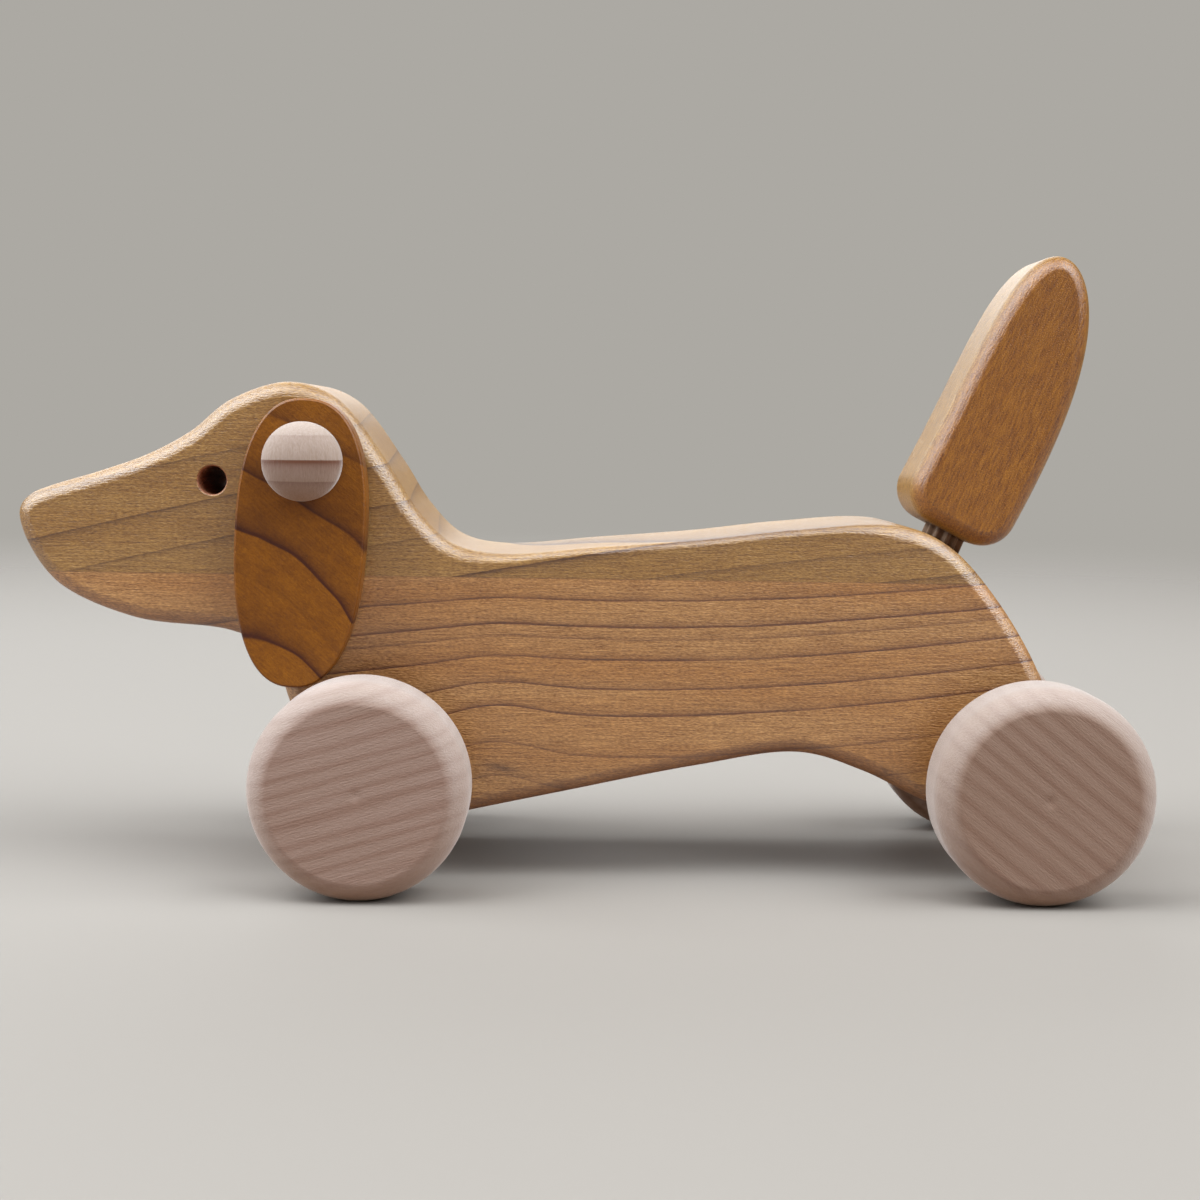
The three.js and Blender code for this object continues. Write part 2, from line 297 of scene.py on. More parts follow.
def arc(centre, radius, start, end, steps):
    """Points (a, b) on an arc, with its angles in degrees."""
    points = []
    for step in range(steps + 1):
        angle = math.radians(start + (end - start) * step / steps)
        points.append((centre[0] + radius * math.cos(angle), centre[1] + radius * math.sin(angle)))
    return points


def cut(piece, cutters):
    """Cuts the cutters' shapes out of a piece and removes the cutters."""
    for cutter in cutters:
        modifier = piece.modifiers.new("hole", "BOOLEAN")
        modifier.operation = "DIFFERENCE"
        modifier.solver = "EXACT"
        modifier.object = cutter
    depsgraph = bpy.context.evaluated_depsgraph_get()
    mesh = bpy.data.meshes.new_from_object(piece.evaluated_get(depsgraph))
    piece.modifiers.clear()
    piece.data = mesh
    for cutter in cutters:
        bpy.data.objects.remove(cutter)
    return piece


def drill(radius, start, end):
    """A cutter for a round hole along Y."""
    return lathe("drill", [(0, start), (radius, start), (radius, end), (0, end)])


def moved(piece, matrix):
    piece.data.transform(matrix)
    return piece


def add(piece, node, matrix):
    """Sets a piece in its place on the toy, gives it its wood and lets it stand for its CAD node."""
    mesh = piece.data
    sawn = mesh.attributes.new(SAWN, "FLOAT_VECTOR", "POINT")
    sawn.data.foreach_set("vector", [value for vertex in mesh.vertices for value in vertex.co])
    mesh.transform(Matrix.Scale(MM, 4) @ matrix)
    mesh.materials.clear()
    mesh.materials.append(woods[slot_of_node[node]])
    mesh.polygons.foreach_set("use_smooth", [True] * len(mesh.polygons))
    mesh.set_sharp_from_angle(angle=math.radians(SHARP_ANGLE))
    normals = piece.modifiers.new("flat faces", "WEIGHTED_NORMAL")
    normals.keep_sharp = True
    normals.weight = FLAT_FACE_WEIGHT
    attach(piece, body_of_node[node])
    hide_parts(node)


# Outlines


def closed_spline(points, steps):
    """A smooth closed line through the points, a centripetal Catmull-Rom spline."""
    count = len(points)
    line = []
    for i in range(count):
        before, start, end, after = (points[(i + k) % count] for k in (-1, 0, 1, 2))
        lead = (start - before).length ** 0.5
        span = (end - start).length ** 0.5
        trail = (after - end).length ** 0.5
        leave = ((start - before) / lead - (end - before) / (lead + span)) * span + (end - start)
        arrive = ((after - end) / trail - (after - start) / (span + trail)) * span + (end - start)
        for step in range(steps):
            t = step / steps
            bend = start * (2 * t**3 - 3 * t**2 + 1) + end * (3 * t**2 - 2 * t**3)
            line.append(bend + leave * (t**3 - 2 * t**2 + t) + arrive * (t**3 - t**2))
    return line


def body_outline():
    points = [Vector((front_axle.x + x, front_axle.z + z)) for x, z in MUZZLE_TO_BACK]
    points += [Vector((rear_axle.x + x, rear_axle.z + z)) for x, z in BACK_TO_BELLY]
    points += [Vector((front_axle.x + x, front_axle.z + z)) for x, z in BELLY_TO_CHIN]
    return closed_spline(points, OUTLINE_STEPS)


def ear_outline():
    """A superellipse round the peg, with its widest line below the peg."""

    def curved(value):
        return math.copysign(abs(value) ** (2 / EAR_FULLNESS), value)

    points = []
    for step in range(EAR_STEPS):
        angle = 2 * math.pi * step / EAR_STEPS
        height = EAR_RISE + EAR_WIDEST if math.sin(angle) > 0 else EAR_DROP - EAR_WIDEST
        across = EAR_WIDTH / 2 * curved(math.cos(angle))
        points.append(Vector((across, height * curved(math.sin(angle)) - EAR_WIDEST)))
    return points


def tail_outline():
    """A foot with round corners under a side that narrows to a blunt tip."""
    half = TAIL_WIDTH / 2
    corner = TAIL_FOOT_CORNER
    side = []
    for step in range(1, TAIL_SIDE_STEPS):
        height = TAIL_LENGTH - (TAIL_LENGTH - corner) * (1 - step / TAIL_SIDE_STEPS) ** 2
        side.append((half * math.sqrt(1 - (height / TAIL_LENGTH) ** TAIL_FULLNESS), height))
    points = arc((corner - half, corner), corner, 180, 270, TAIL_CORNER_STEPS)
    points += arc((half - corner, corner), corner, 270, 360, TAIL_CORNER_STEPS)
    points += side + [(0, TAIL_LENGTH)] + [(-x, z) for x, z in reversed(side)]
    bent = []
    for x, z in points:
        rise = z / TAIL_LENGTH
        bent.append(Vector((x + TAIL_OFFSET + 4 * TAIL_BOW * rise * (1 - rise), z - TAIL_SKEW * x)))
    return bent


# Pieces


def body_round(point):
    """How far the body's edge is rounded at a point of its outline. It is less along the back."""
    along_back = smooth_step(point.x, *BACK_START) - smooth_step(point.x, *BACK_END)
    if point.y < tail_root.z / 2:
        along_back = 0
    return BODY_ROUND + (BACK_ROUND - BODY_ROUND) * along_back


def make_body():
    outline = body_outline()
    rounds = [body_round(point) for point in outline]
    body = routed_board("body_board", outline, 2 * half_board, rounds, BODY_EDGE_START)
    past = half_board + CUT_MARGIN
    cutters = []
    for axle in (front_axle, rear_axle):
        bore = drill(AXLE_BORE_RADIUS, -past, past)
        cutters.append(moved(bore, Matrix.Translation((axle.x, 0, axle.z))))
    for side in (-1, 1):
        hole = drill(PEG_HOLE_RADIUS, side * PEG_HOLE_END, side * past)
        cutters.append(moved(hole, Matrix.Translation((peg_place.x, 0, peg_place.z))))
    flare = EYE_RADIUS + EYE_CHAMFER + CUT_MARGIN
    inside = half_board - EYE_CHAMFER
    profile = [(0, -past), (flare, -past), (EYE_RADIUS, -inside)]
    profile += [(radius, -y) for radius, y in reversed(profile)]
    cutters.append(moved(lathe("drill", profile), Matrix.Translation(eye_place)))
    socket = drill(DOWEL_SOCKET_RADIUS, -DOWEL_SOCKET_DEPTH, CUT_MARGIN)
    cutters.append(moved(socket, tail_frame() @ Matrix.Rotation(math.pi / 2, 4, "X")))
    return cut(body, cutters)


def make_wheel(name, width, radius):
    """A wheel about Y with its inner face at Y = 0. Its outer round meets the flat face at a soft edge."""
    inner = WHEEL_INNER_ROUND
    socket_end = WHEEL_SOCKET_DEPTH
    profile = [(0, socket_end), (WHEEL_SOCKET_RADIUS, socket_end), (WHEEL_SOCKET_RADIUS, 0)]
    profile += arc((radius - inner, inner), inner, -90, 0, ROUND_STEPS)
    edge = routed_edge(radius - WHEEL_FACE_RADIUS, WHEEL_EDGE_START, width)
    profile += [(radius - inset, y) for inset, y in edge]
    profile += [
        (2 * LATHE_MARK_RADIUS, width),
        (LATHE_MARK_RADIUS, width),
        (LATHE_MARK_FLOOR, width - LATHE_MARK_DEPTH),
        (0, width - LATHE_MARK_DEPTH),
    ]
    wheel = lathe(name, profile)
    # How far each point is out on the rim, which sets how much painted highlight it gets
    rim_end = WHEEL_FACE_RADIUS + WHEEL_RIM_WIDTH
    reach = [math.hypot(vertex.co.x, vertex.co.z) for vertex in wheel.data.vertices]
    rim = wheel.data.attributes.new(RIM, "FLOAT", "POINT")
    rim.data.foreach_set("value", [smooth_step(r, WHEEL_FACE_RADIUS, rim_end) for r in reach])
    return wheel


def make_axle(name, reach, radius):
    """A rod along Y from -reach to reach."""
    end = reach - AXLE_CHAMFER
    narrow = radius - AXLE_CHAMFER
    profile = [(0, -reach), (narrow, -reach), (radius, -end), (radius, end), (narrow, reach), (0, reach)]
    return lathe(name, profile)


def make_ear(name, thickness):
    outline = ear_outline()
    ear = routed_board(name, outline, thickness, [EAR_ROUND] * len(outline), EAR_EDGE_START)
    past = thickness / 2 + CUT_MARGIN
    return cut(ear, [drill(EAR_HOLE_RADIUS, -past, past)])


def make_peg(name, shank):
    """A peg about Y with the underside of its head at Y = 0."""
    dome = PEG_HEAD_HEIGHT - PEG_RIM_HEIGHT
    profile = [(0, -shank), (PEG_SHANK_RADIUS, -shank), (PEG_SHANK_RADIUS, 0)]
    profile += arc((PEG_HEAD_RADIUS - PEG_RIM_ROUND, PEG_RIM_ROUND), PEG_RIM_ROUND, -90, 0, ROUND_STEPS)
    for step in range(PEG_DOME_STEPS + 1):
        angle = math.radians(PEG_DOME_END * step / PEG_DOME_STEPS)
        profile.append((PEG_HEAD_RADIUS * math.cos(angle), PEG_RIM_HEIGHT + dome * math.sin(angle)))
    profile.append((0, PEG_HEAD_HEIGHT))
    return lathe(name, profile)


def tail_frame():
    """Upright on the rump, then leant back along the dowel."""
    lean = math.atan2(tail_axis.x, tail_axis.z)
    return Matrix.Translation(tail_root) @ Matrix.Rotation(lean, 4, "Y")


def make_tail():
    low, high = node_box("tail")
    outline = tail_outline()
    rounds = [TAIL_ROUND] * len(outline)
    tail = routed_board("tail_block", outline, high.y - low.y, rounds, TAIL_EDGE_START)
    socket = drill(TAIL_SOCKET_RADIUS, -CUT_MARGIN, TAIL_SOCKET_DEPTH)
    return cut(tail, [moved(socket, Matrix.Rotation(math.pi / 2, 4, "X"))])


def make_dowel():
    """A dowel along Z with round flutes, and with the rump at Z = 0."""
    steps = DOWEL_FLUTES * DOWEL_FLUTE_STEPS
    length = DOWEL_TAIL_DEPTH + TAIL_STANDOFF
    rings = []
    heights = [
        (-DOWEL_BODY_DEPTH, DOWEL_CHAMFER / 2),
        (DOWEL_CHAMFER - DOWEL_BODY_DEPTH, 0),
        (length - DOWEL_CHAMFER, 0),
        (length, DOWEL_CHAMFER / 2),
    ]
    for height, inset in heights:
        ring = []
        for step in range(steps):
            angle = 2 * math.pi * step / steps
            groove = (1 - math.cos(DOWEL_FLUTES * angle)) / 2
            radius = DOWEL_RADIUS - inset - DOWEL_FLUTE_DEPTH * groove
            ring.append((radius * math.cos(angle), radius * math.sin(angle), height))
        rings.append(ring)
    return stack("fluted_dowel", rings)


# Materials


def srgb(red, green, blue):
    """A colour written in 8-bit sRGB, as the linear colour that a node takes."""

    def linear(value):
        value /= 255
        return value / 12.92 if value <= 0.04045 else ((value + 0.055) / 1.055) ** 2.4

    return (linear(red), linear(green), linear(blue), 1)


FLECK_TINT = (1.0, 1.28, 1.75)  # how strongly a fleck changes red, green and blue
NOISE_SPREAD = 2.6  # stretches the noise node's narrow range to about -1 to 1

# The fibre of every wood: sizes in millimetres along it and across it
FINE_FIBRE = (0.7, 0.22, 0.22)
LONG_FIBRE = (7.0, 0.36, 0.36)
CLOUD = (30.0, 7.0, 7.0)
LONG_SHARE = 0.8  # of the long fibre's strength to the fine fibre's
CLOUD_STRENGTH = 0.07
FIBRE_ROUGHNESS = 0.08
FIBRE_BUMP = 0.5


class Signal:
    """A number in a material's node tree. Sums and products of signals make Math nodes."""

    def __init__(self, tree, socket):
        self.tree = tree
        self.socket = socket

    def math(self, operation, *others):
        node = self.tree.nodes.new("ShaderNodeMath")
        node.operation = operation
        for slot, value in zip(node.inputs, (self, *others)):
            plug(self.tree, slot, value)
        return Signal(self.tree, node.outputs[0])

    def __add__(self, other):
        return self.math("ADD", other)

    def __sub__(self, other):
        return self.math("SUBTRACT", other)

    def __rsub__(self, other):
        return (self * -1) + other

    def __mul__(self, other):
        return self.math("MULTIPLY", other)

    def __truediv__(self, other):
        return self.math("DIVIDE", other)

    __radd__ = __add__

    def absolute(self):
        return self.math("ABSOLUTE")

    def smooth(self, low, high):
        """0 below low and 1 above high, with a smooth step between them."""
        node = self.tree.nodes.new("ShaderNodeMapRange")
        node.interpolation_type = "SMOOTHSTEP"
        plug(self.tree, node.inputs["Value"], self)
        node.inputs["From Min"].default_value = low
        node.inputs["From Max"].default_value = high
        return Signal(self.tree, node.outputs["Result"])

    def bell(self, width):
        """1 at zero, falling to nothing on both sides."""
        scaled = self / width
        return (scaled * scaled * -1).math("EXPONENT")


def plug(tree, slot, value):
    if isinstance(value, Signal):
        tree.links.new(value.socket, slot)
    elif isinstance(value, bpy.types.NodeSocket):
        tree.links.new(value, slot)
    else:
        slot.default_value = value


class Wood:
    """A wood under construction, with its position in millimetres of the piece's own coordinates."""

    def __init__(self, name):
        self.material = bpy.data.materials.new(name)
        self.material.use_nodes = True
        self.tree = self.material.node_tree
        self.shader = self.tree.nodes["Principled BSDF"]
        self.x, self.y, self.z = self.split(self.attribute(SAWN).outputs["Vector"])

    def attribute(self, name):
        node = self.tree.nodes.new("ShaderNodeAttribute")
        node.attribute_name = name
        return node

    def split(self, socket):
        node = self.tree.nodes.new("ShaderNodeSeparateXYZ")
        self.tree.links.new(socket, node.inputs[0])
        return [Signal(self.tree, output) for output in node.outputs]

    def noise(self, position, size, detail=2.0, seed=0.0):
        """Noise from about -1 to 1, with features of the given size in millimetres along each axis."""
        combine = self.tree.nodes.new("ShaderNodeCombineXYZ")
        for slot, value, length in zip(combine.inputs, position, size):
            plug(self.tree, slot, value / length + seed)
        node = self.tree.nodes.new("ShaderNodeTexNoise")
        self.tree.links.new(combine.outputs[0], node.inputs["Vector"])
        node.inputs["Scale"].default_value = 1
        node.inputs["Detail"].default_value = detail
        return (Signal(self.tree, node.outputs["Fac"]) - 0.5) * NOISE_SPREAD

    def mix(self, factor, first, second):
        node = self.tree.nodes.new("ShaderNodeMix")
        node.data_type = "RGBA"
        plug(self.tree, node.inputs["Factor"], factor)
        plug(self.tree, node.inputs["A"], first)
        plug(self.tree, node.inputs["B"], second)
        return node.outputs["Result"]

    def growth_line(self, distance, strength, soft, sharp, core=0.6):
        """A ring's late wood: it darkens slowly towards distance 0 and ends sharply past it.

        The core is the share of its darkness that lies close to its sharp end.
        """
        before = distance.math("MINIMUM", 0.0)
        slow = (before / soft).math("EXPONENT")
        quick = (before / (soft / 5)).math("EXPONENT")
        past = 1 - distance.smooth(0.0, sharp)
        return (slow * (1 - core) + quick * core) * past * strength

    def tint(self, colour, amount):
        """Lightens a colour and makes it paler, or with amounts below zero darkens and deepens it."""
        combine = self.tree.nodes.new("ShaderNodeCombineXYZ")
        for slot, share in zip(combine.inputs, FLECK_TINT):
            plug(self.tree, slot, amount * share + 1)
        node = self.tree.nodes.new("ShaderNodeVectorMath")
        node.operation = "MULTIPLY"
        plug(self.tree, node.inputs[0], colour)
        self.tree.links.new(combine.outputs[0], node.inputs[1])
        return node.outputs[0]

    def finish(
        self, colour, fibre, roughness, fleck, grain=1.0, relief=0.05, sheen=0.0, shine=0.5, index=1.5
    ):
        """Adds fibre and flecks to the wood's colour, and sets its shine and its open grain.

        The fibre runs along the first of the three fibre signals, and grain scales how long its flecks are.
        The relief is how far the fibre stands out, in millimetres.
        """
        fine_size = (FINE_FIBRE[0] * grain, *FINE_FIBRE[1:])
        long_size = (LONG_FIBRE[0] * grain, *LONG_FIBRE[1:])
        fine = self.noise(fibre, fine_size, detail=2.0, seed=11.0)
        long = self.noise(fibre, long_size, detail=3.0, seed=5.0)
        cloud = self.noise(fibre, CLOUD, detail=2.0, seed=23.0)
        flecks = fine * fleck + long * (LONG_SHARE * fleck) + cloud * CLOUD_STRENGTH
        plug(self.tree, self.shader.inputs["Base Color"], self.tint(colour, flecks))
        plug(self.tree, self.shader.inputs["Roughness"], roughness + fine * FIBRE_ROUGHNESS)
        node = self.tree.nodes.new("ShaderNodeBump")
        node.inputs["Strength"].default_value = FIBRE_BUMP
        node.inputs["Distance"].default_value = relief * MM
        plug(self.tree, node.inputs["Height"], fine + long)
        self.tree.links.new(node.outputs["Normal"], self.shader.inputs["Normal"])
        self.shader.inputs["Sheen Weight"].default_value = sheen
        self.shader.inputs["Specular IOR Level"].default_value = shine
        self.shader.inputs["IOR"].default_value = index
        return self.material


# Body wood: two boards glued edge to edge. The grain of the upper one climbs towards the tail.
GLUE_HEIGHT = 54.27
GLUE_SLOPE = -0.005
GLUE_WIDTH = 0.1
GLUE_COLOUR = srgb(92, 56, 26)
# Rings as (place, strength): the lower board's below the glue line, the upper board's above the floor
LOWER_RINGS = [
    (3.8, 0.8), (8.55, 1.0), (10.8, 0.5), (14.6, 0.9), (19.85, 0.8), (24.55, 0.9), (31.9, 0.6), (38.7, 0.5),
]
LOWER_LEVEL_PLACE = 6.0  # X where the lower board's rings lie level
LOWER_BOW = 0.001
LOWER_BOW_START = 0.85  # share of the bow at the glue line
LOWER_BOW_GROWTH = 0.02  # and how much it gains for each millimetre below it
LOWER_HUMP_PLACE = -14.4  # X of the hump behind the chest
LOWER_HUMP_LENGTH = 10.2
LOWER_HUMP_HEIGHT = 0.6
LOWER_HUMP_START = 10.2  # depth below the glue line from which the hump grows
LOWER_HUMP_GROWTH = 0.13
LOWER_PALE = srgb(174, 127, 75)
LOWER_DEEP = srgb(165, 113, 57)
LOWER_LATE = srgb(92, 42, 0)
UPPER_RINGS = [
    (46.95, 0.7), (52.35, 0.5), (58.05, 1.0), (66.1, 0.5), (72.9, 0.6), (79.95, 0.7), (88.0, 0.5),
]
UPPER_CLIMB = 0.158
UPPER_BOW = 0.00048
UPPER_PALE = srgb(157, 117, 60)
UPPER_DEEP = srgb(147, 105, 47)
UPPER_LATE = srgb(88, 49, 2)
RING_TILT = 0.08  # millimetres that a ring drops for each millimetre across the board
STREAK_PLACE = (-13.0, 20.1)  # a dark streak low behind the front wheel
STREAK_LENGTH = 3.2
STREAK_WIDTH = 0.7
STREAK_SLOPE = 0.2
STREAK_COLOUR = srgb(84, 46, 20)
EYE_COLOUR = srgb(160, 94, 52)
OILED_ROUGHNESS = 0.38
OILED_INDEX = 1.65  # the refractive index of the oil on the body
BARE_ROUGHNESS = 0.78  # inside the eye, where no oil shines


def body_wood():
    wood = Wood("oiled_cherry")
    x, y, z = wood.x, wood.y, wood.z
    sway = wood.noise((x, y, z), (32.0, 30.0, 9.0), detail=1.0, seed=2.0) * 0.22
    sway = sway + wood.noise((x, y, z), (5.0, 6.0, 2.5), detail=2.0, seed=7.0) * 0.09
    across = (y + half_board) * RING_TILT
    depth = GLUE_HEIGHT + x * GLUE_SLOPE - z

    # Lower board: nearly level rings that bow up towards the rump and hump behind the chest
    lean = x - LOWER_LEVEL_PLACE
    bow = lean * lean.absolute() * -LOWER_BOW * (depth * LOWER_BOW_GROWTH + LOWER_BOW_START)
    below_start = (depth - LOWER_HUMP_START).math("MAXIMUM", 0.0)
    height = below_start * LOWER_HUMP_GROWTH + LOWER_HUMP_HEIGHT
    hump = (x - LOWER_HUMP_PLACE).bell(LOWER_HUMP_LENGTH) * height * -1
    lower_ring = depth - bow - hump - across + sway
    fade = 1.25 + wood.noise((x, y, z), (14.0, 12.0, 6.0), detail=1.0, seed=17.0) * 0.4
    lower_late = 0.0
    for ring, strength in LOWER_RINGS:
        lower_late = wood.growth_line(lower_ring - ring, strength, 1.1, 0.22) + lower_late

    # Upper board: rings that climb to the rear, dark below their lines
    climb = x * UPPER_CLIMB - x * x * UPPER_BOW
    upper_ring = climb - z + across + sway
    upper_late = 0.0
    for ring, strength in UPPER_RINGS:
        upper_late = wood.growth_line((upper_ring + ring) * -1, strength, 1.6, 0.2) + upper_late

    is_lower = depth.smooth(-0.05, 0.05)
    tone = wood.noise((x, y, z), (60.0, 20.0, 7.0), detail=1.0, seed=41.0).smooth(-0.6, 0.6)
    lower = wood.mix(tone, LOWER_PALE, LOWER_DEEP)
    # Painted shade: the lower board grows darker and deeper in colour towards the belly
    lower = wood.tint(lower, depth.smooth(20.0, 44.0) * -0.1)
    lower = wood.mix(lower_late * fade, lower, LOWER_LATE)
    streak = x - STREAK_PLACE[0]
    streak = streak.bell(STREAK_LENGTH) * (z - STREAK_PLACE[1] + streak * STREAK_SLOPE).bell(STREAK_WIDTH)
    lower = wood.mix(streak * 0.75, lower, STREAK_COLOUR)
    upper = wood.mix(tone, UPPER_PALE, UPPER_DEEP)
    upper = wood.mix(upper_late * fade, upper, UPPER_LATE)
    colour = wood.mix(is_lower, upper, lower)
    colour = wood.mix(depth.bell(GLUE_WIDTH) * 0.4, colour, GLUE_COLOUR)
    eye_x = x - eye_place.x
    eye_z = z - eye_place.z
    from_eye = (eye_x * eye_x + eye_z * eye_z).math("SQRT")
    in_eye = 1 - from_eye.smooth(EYE_RADIUS + 0.02, EYE_RADIUS + EYE_CHAMFER)
    colour = wood.mix(in_eye, colour, EYE_COLOUR)
    roughness = in_eye * (BARE_ROUGHNESS - OILED_ROUGHNESS) + OILED_ROUGHNESS
    return wood.finish(colour, (x, y, z), roughness, 0.62, relief=0.08, shine=1.0, index=OILED_INDEX)


# Ear wood: rings as (height, strength), measured from the peg
EAR_RINGS = [(5.0, 0.6), (-7.3, 0.9), (-17.0, 1.2), (-25.5, 0.25), (-33.5, 1.1)]
EAR_PALE = srgb(132, 78, 6)
EAR_LATE = srgb(66, 22, 0)
EAR_FIBRE = (0.78, -0.62)  # X and Z of the way that the fibre runs


def ear_wood():
    """Dark cherry with slanting rings that grow steeper and rounder towards the ear's tip."""
    wood = Wood("dark_cherry")
    x, y, z = wood.x, wood.y, wood.z
    sway = wood.noise((x, y, z), (9.0, 12.0, 9.0), detail=1.0, seed=3.0) * 0.8
    drop = z * -1
    slope = 0.49 + drop.smooth(12.0, 21.0) * 0.27 - drop.smooth(25.0, 33.0) * 0.16
    curve = (drop - 10.0).math("MAXIMUM", 0.0) * 0.0019
    ring = z + x * slope + x * x * curve + sway
    late = 0.0
    for height, strength in EAR_RINGS:
        late = wood.growth_line((ring - height) * -1, strength, 3.6, 0.5, core=0.5) + late
    colour = wood.mix(late, EAR_PALE, EAR_LATE)
    blotch = wood.noise((x, y, z), (4.0, 4.0, 3.0), detail=3.0, seed=29.0)
    mottle = wood.noise((x, y, z), (1.1, 1.1, 0.9), detail=1.0, seed=31.0)
    colour = wood.tint(colour, blotch * 0.16 + mottle * 0.14)
    way_x, way_z = EAR_FIBRE
    fibre = (x * way_x + z * way_z, y, z * way_x - x * way_z)
    return wood.finish(colour, fibre, 0.42, 0.26, grain=0.5)


TAIL_PALE = srgb(142, 88, 18)
TAIL_LATE = srgb(112, 58, 3)
# The paler colour of the tail's round-overs, partly from sanding and partly a painted highlight
TAIL_SANDED_AND_LIT = srgb(150, 110, 52)
TAIL_RING_WIDTH = 5.5


def tail_wood():
    """Cherry, paler and yellower on its rounded edges, partly from sanding through the oil and partly as a
    painted highlight.
    """
    wood = Wood("red_cherry")
    x, y, z = wood.x, wood.y, wood.z
    sway = wood.noise((x, y, z), (9.0, 9.0, 60.0), detail=1.0, seed=4.0) * 0.8
    ring = (x + y * 0.35 + sway) / TAIL_RING_WIDTH
    late = ring.math("FRACT").smooth(0.35, 1.0)
    colour = wood.mix(late * 0.2, TAIL_PALE, TAIL_LATE)
    half = node_box("tail")[1].y
    # Sanding and painted highlight: paler, yellower wood on the round-overs of both sides
    sanded_and_lit = 1 - y.absolute().smooth(half - 3.0, half - 0.4)
    colour = wood.mix(sanded_and_lit, colour, TAIL_SANDED_AND_LIT)
    return wood.finish(colour, (z, x, y), 0.36, 0.75, grain=0.35, relief=0.07, shine=1.0)


# The paler colour of a wheel's rim, a painted highlight
BEECH_RIM_HIGHLIGHT = srgb(184, 171, 164)
PAINTED_SHADE_PLACE = (20.0, 45.0)  # X in the plank where the painted shade, redder and darker, sets in, and where it is full


def beech(name, light, dark, period, roughness):
    """Raw beech with its rings across Z and its fibre along X.

    It is redder and darker further along the plank, a painted shade that falls mostly on the rear wheels,
    and paler on a wheel's rim, a painted highlight.
    """
    wood = Wood(name)
    x, y, z = wood.x, wood.y, wood.z
    sway = wood.noise((x, y, z), (50.0, 30.0, 6.0), detail=1.0, seed=6.0) * 1.2
    wave = ((z + sway) / period * (2 * math.pi)).math("SINE") * 0.5 + 0.5
    strength = wood.noise((x, y, z), (40.0, 30.0, 3.0), detail=1.0, seed=12.0) * 0.6 + 0.9
    colour = wood.mix(wave * wave * strength, light, dark)
    # Painted shade: the wood further along the plank, on the rear wheels, is redder and darker
    colour = wood.tint(colour, x.smooth(*PAINTED_SHADE_PLACE) * -0.16)
    rim = Signal(wood.tree, wood.attribute(RIM).outputs["Fac"])
    # Painted highlight: a wheel's rim is paler than its face
    colour = wood.mix(rim * 0.4, colour, BEECH_RIM_HIGHLIGHT)
    return wood.finish(colour, (x, y, z), roughness, 0.08, sheen=0.55)


# Peg wood: rings as (height, strength), measured from the peg's axis
PEG_RINGS = [(4.4, 0.25), (0.15, 1.2), (-3.5, 0.4)]
PEG_PALE = srgb(168, 149, 137)
PEG_LATE = srgb(98, 50, 18)


def peg_wood():
    """Beech with a few wide rings, each of them dark below a sharp line."""
    wood = Wood("peg_beech")
    x, y, z = wood.x, wood.y, wood.z
    sway = wood.noise((x, y, z), (9.0, 9.0, 3.0), detail=1.0, seed=8.0) * 0.15
    late = 0.0
    for height, strength in PEG_RINGS:
        late = wood.growth_line(z + sway - height, strength, 3.0, 0.25, core=0.4) + late
    colour = wood.mix(late, PEG_PALE, PEG_LATE)
    return wood.finish(colour, (z, x, y), 0.65, 0.12, sheen=0.6)


# The toy

woods = {
    "body_wood": body_wood(),
    "ear_wood": ear_wood(),
    "tail_wood": tail_wood(),
    "wheel_wood": beech("raw_beech", srgb(155, 130, 118), srgb(141, 112, 98), 2.9, 0.7),
    "peg_wood": peg_wood(),
    "axle_wood": beech("axle_beech", srgb(170, 142, 116), srgb(150, 118, 92), 2.0, 0.7),
    # The dowel's beech is darker than the axle's, partly its own darker stock and partly painted shade
    # where it sits between tail and rump
    "dowel_wood": beech("dowel_beech", srgb(130, 101, 76), srgb(96, 67, 43), 2.2, 0.75),
}


add(make_body(), "body", Matrix())

# How each wheel's grain lies: degrees that its rings are turned about the axle, and its place in the plank,
# which also sets how much painted shade it gets
WHEEL_GRAIN = {
    "front_left_wheel": (-16, 0.0),
    "front_right_wheel": (70, 31.0),
    "rear_left_wheel": (39, 64.0),
    "rear_right_wheel": (-35, 97.0),
}
for end, axle in (("front", front_axle), ("rear", rear_axle)):
    low, high = node_box(f"{end}_axle")
    shaft = make_axle(f"{end}_axle_rod", high.y, (high.z - low.z) / 2)
    add(shaft, f"{end}_axle", Matrix.Translation((axle.x, 0, axle.z)))
    for side, sign in (("left", -1), ("right", 1)):
        node = f"{end}_{side}_wheel"
        low, high = node_box(node)
        turn, plank = WHEEL_GRAIN[node]
        wheel = make_wheel(f"{node}_turned", high.y - low.y, axle.z)
        inner = low.y if sign > 0 else high.y
        spot = Vector((plank, plank / 2, plank / 3))
        wheel = moved(wheel, Matrix.Translation(spot))
        matrix = Matrix.Translation((axle.x, inner, axle.z)) @ Matrix.Rotation(math.radians(turn), 4, "Y")
        if sign < 0:
            matrix = matrix @ Matrix.Rotation(math.pi, 4, "Z")
        add(wheel, node, matrix @ Matrix.Translation(-spot))

